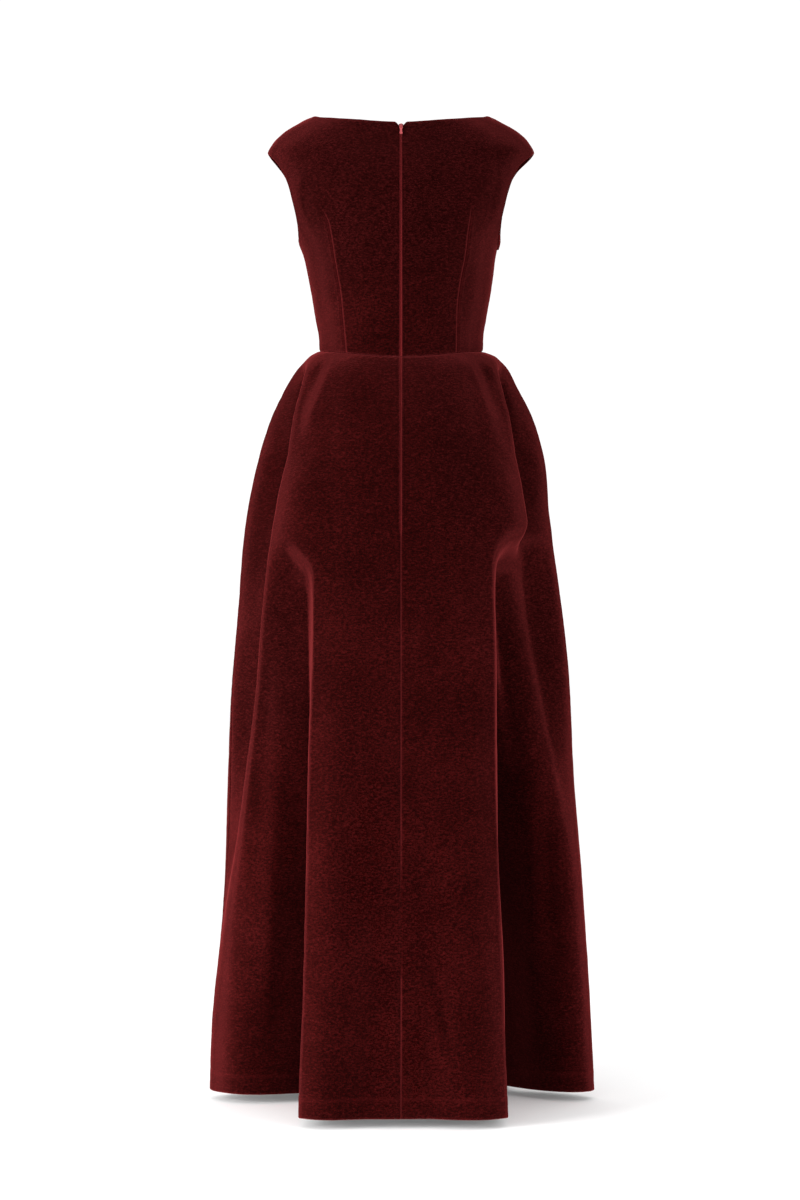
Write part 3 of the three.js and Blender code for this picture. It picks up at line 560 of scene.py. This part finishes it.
def make_bodice():
    made = {}
    for side, word in ((-1, "left"), (1, "right")):
        points, normals, column, z = bodice_grid("back", side)
        grids = (points, normals, *bodice_relief("back", points, normals, column, z))
        if side < 0:
            grids = (grid[:, ::-1] for grid in grids)
        points, normals, relief, painted_highlight = grids
        name = f"bodice_back_{word}"
        made[name] = shell(f"cloth_{name}", points, normals, relief, painted_highlight=painted_highlight)
    halves = []
    for side in (1, -1):
        points, normals, column, z = bodice_grid("front", side)
        halves.append((points, normals, *bodice_relief("front", points, normals, column, z)))
    points, normals, relief, painted_highlight = join_halves(*halves)
    middle = len(points[0]) // 2
    normals[:, middle, 0] = 0
    normals /= np.linalg.norm(normals, axis=-1, keepdims=True)
    made["bodice_front"] = shell("cloth_bodice_front", points, normals, relief, painted_highlight=painted_highlight)
    return made


def skirt_grid(start, stop, step):
    """One skirt panel, its columns even along the cloth and fine beside its two seams."""
    height = WAIST_Z - HEM_Z
    down = marks(height, SKIRT_ROW_STEP, FINE_EDGE, FINE)
    heights = HEM_Z + down
    sampled = np.linspace(start, stop, 1441)
    turn, z = np.meshgrid(sampled, heights)
    points = skirt_point(turn, z)
    travelled = lengths(points, 1)
    total = travelled[:, -1]
    widest = total.max()
    count = int(widest / step)
    even = np.linspace(0, 1, count + 1)
    angles = np.empty((len(heights), count + 2 * (len(FINE) - 1) + 1))
    for row, length in enumerate(total):
        inner = FINE[-1] + even * (length - 2 * FINE[-1])
        places = np.concatenate([FINE[:-1], inner, length - FINE[:-1][::-1]])
        angles[row] = np.interp(places, travelled[row], sampled)
    z = np.broadcast_to(heights[:, None], angles.shape)
    points = skirt_point(angles, z)
    return points, grid_normals(points, 1), z


def skirt_relief(points, normals, z, zip_at_start, zip_at_stop):
    """Relief of a skirt panel, and the painted highlight along its seams, hem and zip lips."""
    run, rise = lengths(points, 1), lengths(points, 0)
    top = rise[-1:] - rise
    out = crease_offset(points, normals)
    low = ease((-420 - z) / 200)
    out += (0.5 + 0.9 * low) * ripple(points * [1, 1, 0.35], 120, 21)
    out += 0.1 * ripple(points, 26, 22)
    out += groove(top, 0.9, 2.6) + 1.6 * pucker(run, top, 14)
    out += 0.35 * line(rise - HEM_FOLD + 5, 3.5) + groove(rise - HEM_FOLD, 0.35, 1.6)
    # Painted highlight: a brighter red along the waist seam, hem, hem fold, seams and zip lips, for
    # light caught there.
    painted_highlight = 0.12 * line(top, 1.4) + 0.3 * line(rise, 1.6)
    painted_highlight += 0.08 * line(rise - HEM_FOLD + 4, 2.5)
    closed = ease((z - ZIP_END_Z) / 12)
    for distance, has_zip in ((run, zip_at_start), (run[:, -1:] - run, zip_at_stop)):
        sewn = groove(distance, 0.8, 1.8) + pucker(rise, distance, 15)
        if has_zip:
            out += closed * lip(distance) + (1 - closed) * sewn
            out += ease((-1340 - z) / 40) * 0.6 * line(distance - 8, 2)
            upper = 0.55 + 0.45 * ease((z + 400) / 60)
            painted_highlight += line(distance, 1.3) * (closed * upper + (1 - closed) * 0.16)
        else:
            out += sewn
            painted_highlight += 0.12 * line(distance, 1.4)
    return out, painted_highlight


def make_skirt():
    """The three skirt panels: name, first and last angle, column step, and where the zip is."""
    made = {}
    rows = [
        ("skirt_back_left", -SIDE_SEAM_ANGLE, 0, 4.3, False, True),
        ("skirt_back_right", 0, SIDE_SEAM_ANGLE, 4.3, True, False),
        ("skirt_front", SIDE_SEAM_ANGLE, 360 - SIDE_SEAM_ANGLE, 5.6, False, False),
    ]
    for name, start, stop, step, at_start, at_stop in rows:
        points, normals, z = skirt_grid(start, stop, step)
        relief, painted_highlight = skirt_relief(points, normals, z, at_start, at_stop)
        made[name] = shell(f"cloth_{name}", points, normals, relief, painted_highlight=painted_highlight)
    return made


def allowance_grid(first, last, columns, low, high, rows):
    """Angles and heights of a narrow strip."""
    return np.meshgrid(np.linspace(first, last, columns), np.linspace(low, high, rows))


def make_allowance(name, points):
    """A pressed-open seam allowance, lying just inside its seam."""
    outer = np.full(points.shape[:2], -CLOTH - ALLOWANCE_INSET)
    return shell(name, points, grid_normals(points, 1), outer, ALLOWANCE, ALLOWANCE_EDGE)


def waist_allowance():
    turn, z = allowance_grid(-180, 180, 181, WAIST_Z - 9, WAIST_Z + 9, 7)
    side, angle = np.where(turn < 0, -1, 1), np.abs(turn)
    back = bodice_point("back", 1, angle, z)
    front = bodice_point("front", 1, 180 - angle, z)
    ring = np.where((angle < 90)[..., None], back, front)
    ring[..., 0] *= side
    return make_allowance("turning_waist", ring)


def skirt_allowance(name, seam_angle, low, high, rows):
    """The allowance inside one upright seam of the skirt."""
    half = SKIRT_ALLOWANCE_ANGLE
    turn, z = allowance_grid(-half, half, 7, low, high, rows)
    return make_allowance(name, skirt_point(turn + seam_angle, z))


def bodice_allowance(name, side):
    """The allowance inside one side seam of the bodice."""
    half = BODICE_ALLOWANCE_ANGLE
    turn, z = allowance_grid(-half, half, 7, WAIST_Z + 2, UNDERARM_Z - 6, 40)
    back = bodice_point("back", side, 90 + turn, z)
    front = bodice_point("front", side, 90 - turn, z)
    seam = np.where((turn < 0)[..., None], back, front)
    return make_allowance(name, seam if side > 0 else seam[:, ::-1])


def make_allowances():
    """Each seam allowance, with its cut width and length in metres and what it is sewn to."""
    made = [(waist_allowance(), 0.72, 0.018, ["cloth_bodice_front"])]
    low, top = HEM_Z + 6, WAIST_Z - 6
    for side, word in ((-1, "left"), (1, "right")):
        strip = skirt_allowance(f"turning_skirt_{word}", side * SIDE_SEAM_ANGLE, low, top, 180)
        made.append((strip, 0.016, 1.12, [f"cloth_skirt_back_{word}", "cloth_skirt_front"]))
        strip = bodice_allowance(f"turning_bodice_{word}", side)
        made.append((strip, 0.015, 0.145, [f"cloth_bodice_back_{word}", "cloth_bodice_front"]))
    strip = skirt_allowance("turning_centre_back", 0, low, ZIP_END_Z - 4, 140)
    made.append((strip, 0.016, 0.81, ["cloth_skirt_back_left", "cloth_skirt_back_right"]))
    return made


def centre_back(z):
    """Where the outside of the centre back line lies, at one height."""
    bodice = bodice_point("back", 1, np.zeros_like(z), z)
    skirt = skirt_point(np.zeros_like(z), z)
    return np.where(z[..., None] > WAIST_Z, bodice, skirt)


def back_surface(x, z):
    """Places on the back of the gown at a small distance from its centre line."""
    reach = -centre_back(z)[..., 1]
    angle = np.degrees(np.arcsin(np.clip(np.abs(x) / reach, 0, 1)))
    bodice = bodice_point("back", 1, angle, z)
    skirt = skirt_point(angle, z)
    place = np.where(z[..., None] > WAIST_Z, bodice, skirt)
    place[..., 0] = x
    return place


def make_tape(side, word):
    """One zip tape: a woven strip inside the back, with a thicker corded edge."""
    x, z = np.meshgrid(TAPE_COLUMNS, np.arange(TAPE_END_Z, ZIP_TOP_Z + 1, TAPE_ROW_STEP))
    points = back_surface(side * x, z)
    if side < 0:
        points = points[:, ::-1]
    run = lengths(points, 1)
    cord_edge = run if side > 0 else run[:, -1:] - run
    outer = -TAPE_INSET + 0.25 * line(cord_edge - 1.2, 0.8)
    return shell(f"tape_{word}", points, grid_normals(points, 1), outer, TAPE, TAPE_EDGE)


def make_coil(side, word):
    """The coil of the closed zip on one side: small loops that lock with the other side's."""
    z = np.arange(COIL_END_Z, ZIP_TOP_Z - 2, COIL_PITCH) + (0 if side < 0 else COIL_PITCH / 2)
    ring = np.radians(np.arange(COIL_SIDES) * 360 / COIL_SIDES)
    points, faces = [], []
    for _, seam_y, seam_z in centre_back(z):
        first = len(points)
        for out, radius in COIL_LOOP:
            for a in ring:
                y = seam_y + TAPE_INSET + COIL_DEPTH + radius * math.cos(a)
                points.append((side * (out - COIL_LOCK), y, seam_z + radius * math.sin(a)))
        for k in range(len(COIL_LOOP) - 1):
            for j in range(COIL_SIDES):
                a = first + k * COIL_SIDES + j
                b = first + k * COIL_SIDES + (j + 1) % COIL_SIDES
                faces.append((a, b, b + COIL_SIDES, a + COIL_SIDES))
    return add_mesh(f"coil_{word}", np.array(points) * MM, np.array(faces))


def new_material(name):
    material = bpy.data.materials.new(name)
    material.use_nodes = True
    tree = material.node_tree
    return material, tree, tree.nodes["Principled BSDF"]


def node(tree, kind, **values):
    """A shader node, with values for its inputs or its own settings."""
    made = tree.nodes.new(kind)
    for key, value in values.items():
        if key in made.inputs:
            made.inputs[key].default_value = value
        else:
            setattr(made, key, value)
    return made


def noise(tree, place, scale, detail=2.0, stretch=(1, 1, 1)):
    """Cloudy noise in the object's own coordinates, stretched along its axes."""
    mapping = node(tree, "ShaderNodeMapping", Scale=stretch)
    made = node(tree, "ShaderNodeTexNoise", Scale=scale, Detail=detail)
    tree.links.new(place.outputs["Object"], mapping.inputs["Vector"])
    tree.links.new(mapping.outputs["Vector"], made.inputs["Vector"])
    return made.outputs["Fac"]


def greys(*stops):
    """Ramp stops of plain values: a position and a value each."""
    return [(position, (value, value, value)) for position, value in stops]


def ramp(tree, factor, stops):
    """A colour ramp's output: each stop is a position and a colour."""
    made = tree.nodes.new("ShaderNodeValToRGB")
    elements = made.color_ramp.elements
    for index, (position, colour) in enumerate(stops):
        element = elements[index] if index < 2 else elements.new(position)
        element.position = position
        element.color = (*colour, 1)
    tree.links.new(factor, made.inputs["Fac"])
    return made.outputs["Color"]


def weighted(tree, *parts):
    """The sum of some values, each times its own weight."""
    total = None
    for value, weight in parts:
        made = node(tree, "ShaderNodeMath", operation="MULTIPLY_ADD")
        made.inputs[1].default_value = weight
        made.inputs[2].default_value = 0
        tree.links.new(value, made.inputs[0])
        if total is not None:
            tree.links.new(total, made.inputs[2])
        total = made.outputs["Value"]
    return total


def velvet():
    """Dark red velvet: a pile that is deep face on and bright red where it turns away."""
    material, tree, shader = new_material("velvet")
    place = tree.nodes.new("ShaderNodeTexCoord")
    clouds = noise(tree, place, 11, 3)
    pile = noise(tree, place, 330, 2, (0.65, 0.65, 1.5))
    specks = noise(tree, place, 700, 1, (0.8, 0.8, 1.3))
    grain = weighted(tree, (clouds, 0.14), (pile, 0.44), (specks, 0.42))
    colour = ramp(tree, grain, [
        (0.38, (0.004, 0.0004, 0.0004)),
        (0.5, (0.0112, 0.0011, 0.0011)),
        (0.63, (0.031, 0.0029, 0.003)),
    ])
    # Painted highlight: the attribute mixes a brighter red into the base colour along seams, edges and
    # zip lips, standing in for light caught there.
    painted_highlight = node(tree, "ShaderNodeAttribute", attribute_name="painted_highlight")
    edge = node(tree, "ShaderNodeMix", data_type="RGBA")
    edge.inputs[7].default_value = (0.1, 0.009, 0.01, 1)
    tree.links.new(painted_highlight.outputs["Fac"], edge.inputs[0])
    tree.links.new(colour, edge.inputs[6])
    tree.links.new(edge.outputs[2], shader.inputs["Base Color"])
    shader.inputs["Roughness"].default_value = 1.0
    shader.inputs["Specular IOR Level"].default_value = 0.0
    shader.inputs["Sheen Roughness"].default_value = 0.5
    shader.inputs["Sheen Tint"].default_value = (1.0, 0.125, 0.13, 1)
    bump = node(tree, "ShaderNodeBump", Strength=0.7, Distance=0.0008)
    tree.links.new(weighted(tree, (pile, 0.6), (specks, 0.4)), bump.inputs["Height"])
    tree.links.new(bump.outputs["Normal"], shader.inputs["Normal"])
    slant = node(tree, "ShaderNodeLayerWeight", Blend=0.5)
    tree.links.new(bump.outputs["Normal"], slant.inputs["Normal"])
    sheen = ramp(tree, slant.outputs["Facing"], greys(
        (0.0, 0.03), (0.14, 0.155), (0.27, 0.43), (0.38, 0.42), (0.48, 0.22), (0.78, 0.2), (1.0, 0.3),
    ))
    tree.links.new(sheen, shader.inputs["Sheen Weight"])
    return material


def tape_cloth():
    """Woven polyester tape, with its fine ribs across the strip."""
    material, tree, shader = new_material("zip_tape")
    place = tree.nodes.new("ShaderNodeTexCoord")
    ribs = noise(tree, place, 300, 1, (0.3, 0.3, 3.2))
    colour = ramp(tree, ribs, [(0.35, (0.03, 0.003, 0.004)), (0.65, (0.075, 0.009, 0.01))])
    tree.links.new(colour, shader.inputs["Base Color"])
    shader.inputs["Roughness"].default_value = 0.95
    shader.inputs["Specular IOR Level"].default_value = 0.1
    bump = node(tree, "ShaderNodeBump", Strength=0.6, Distance=0.0003)
    tree.links.new(ribs, bump.inputs["Height"])
    tree.links.new(bump.outputs["Normal"], shader.inputs["Normal"])
    return material


def enamel(name, dark, light):
    """Painted zinc of the slider and pull, or the moulded coil: slightly uneven gloss."""
    material, tree, shader = new_material(name)
    place = tree.nodes.new("ShaderNodeTexCoord")
    wear = noise(tree, place, 420, 3)
    colour = ramp(tree, wear, [(0.3, dark), (0.7, light)])
    tree.links.new(colour, shader.inputs["Base Color"])
    rough = node(tree, "ShaderNodeMapRange")
    rough.inputs["To Min"].default_value = 0.28
    rough.inputs["To Max"].default_value = 0.5
    tree.links.new(wear, rough.inputs["Value"])
    tree.links.new(rough.outputs["Result"], shader.inputs["Roughness"])
    bump = node(tree, "ShaderNodeBump", Strength=0.2, Distance=0.0001)
    tree.links.new(wear, bump.inputs["Height"])
    tree.links.new(bump.outputs["Normal"], shader.inputs["Normal"])
    return material


def dress(obj, material):
    """Gives a node that stays in view its finished material."""
    if not obj.material_slots:
        obj.data.materials.append(material)
    for place in obj.material_slots:
        place.material = material


def make_floor():
    """A plain pale floor, just below the hem."""
    bpy.ops.mesh.primitive_plane_add(size=FLOOR_SIZE, location=(0, 0, (HEM_Z - FLOOR_GAP) * MM))
    floor = bpy.context.object
    floor.name = "floor"
    material, tree, shader = new_material("floor_paint")
    place = tree.nodes.new("ShaderNodeTexCoord")
    colour = ramp(tree, noise(tree, place, 3), greys((0.3, 0.93), (0.7, 0.95)))
    tree.links.new(colour, shader.inputs["Base Color"])
    shader.inputs["Roughness"].default_value = 0.9
    floor.data.materials.append(material)


def make_light():
    """Even white surroundings, a tall soft light from the left, a weak one from the right, and
    one low on each side for the skirt."""
    world = bpy.data.worlds.new("studio")
    bpy.context.scene.world = world
    world.use_nodes = True
    sky = world.node_tree.nodes["Background"]
    sky.inputs["Color"].default_value = (1, 1, 1, 1)
    sky.inputs["Strength"].default_value = SKY_STRENGTH
    for name, power, width, height, place, turn, spread in LIGHTS:
        light = bpy.data.lights.new(name, "AREA")
        light.shape = "RECTANGLE"
        light.energy = power
        light.size = width
        light.size_y = height
        light.spread = math.radians(spread)
        obj = bpy.data.objects.new(name, light)
        obj.location = place
        obj.rotation_euler = (math.pi / 2, 0, math.radians(turn))
        bpy.context.scene.collection.objects.link(obj)


def make_camera():
    """4 m behind the gown at its mid height, framed as in the photo."""
    camera = bpy.data.cameras.new("camera")
    camera.lens = CAMERA_LENS
    camera.sensor_width = CAMERA_SENSOR
    obj = bpy.data.objects.new("camera", camera)
    obj.location = CAMERA_PLACE
    obj.rotation_euler = (math.pi / 2, 0, 0)
    bpy.context.scene.collection.objects.link(obj)
    bpy.context.scene.camera = obj


def lay_cloth(material):
    """The six velvet panels and the allowances of the seams that join them."""
    for panel, cloth in {**make_bodice(), **make_skirt()}.items():
        cloth.data.materials.append(material)
        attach(cloth, "gown")
        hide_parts(panel)
    for strip, width, length, carriers in make_allowances():
        strip.data.materials.append(material)
        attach(strip, "gown")


def lay_zip(tape_material, coil_material):
    """The two tapes of the zip, each with its coil."""
    for side, word in ((-1, "left"), (1, "right")):
        tape = make_tape(side, word)
        coil = make_coil(side, word)
        tape.data.materials.append(tape_material)
        coil.data.materials.append(coil_material)
        for piece in (tape, coil):
            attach(piece, "gown")
        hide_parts(f"zip_tape_{word}")


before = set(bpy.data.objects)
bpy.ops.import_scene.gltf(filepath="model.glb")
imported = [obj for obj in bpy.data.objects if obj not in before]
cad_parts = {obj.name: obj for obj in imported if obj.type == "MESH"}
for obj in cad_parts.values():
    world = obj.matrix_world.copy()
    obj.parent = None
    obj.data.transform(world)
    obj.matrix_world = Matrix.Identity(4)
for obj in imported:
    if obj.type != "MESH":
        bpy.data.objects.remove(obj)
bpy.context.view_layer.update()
bpy.context.scene.view_settings.view_transform = "Standard"
make_camera()
make_light()
make_floor()

lay_cloth(velvet())
lay_zip(tape_cloth(), enamel("zip_coil", (0.09, 0.008, 0.01), (0.2, 0.02, 0.025)))
red_enamel = enamel("zip_enamel", (0.24, 0.026, 0.03), (0.34, 0.042, 0.046))
for hard_piece in ("zip_slider", "zip_pull"):
    dress(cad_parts[hard_piece], red_enamel)
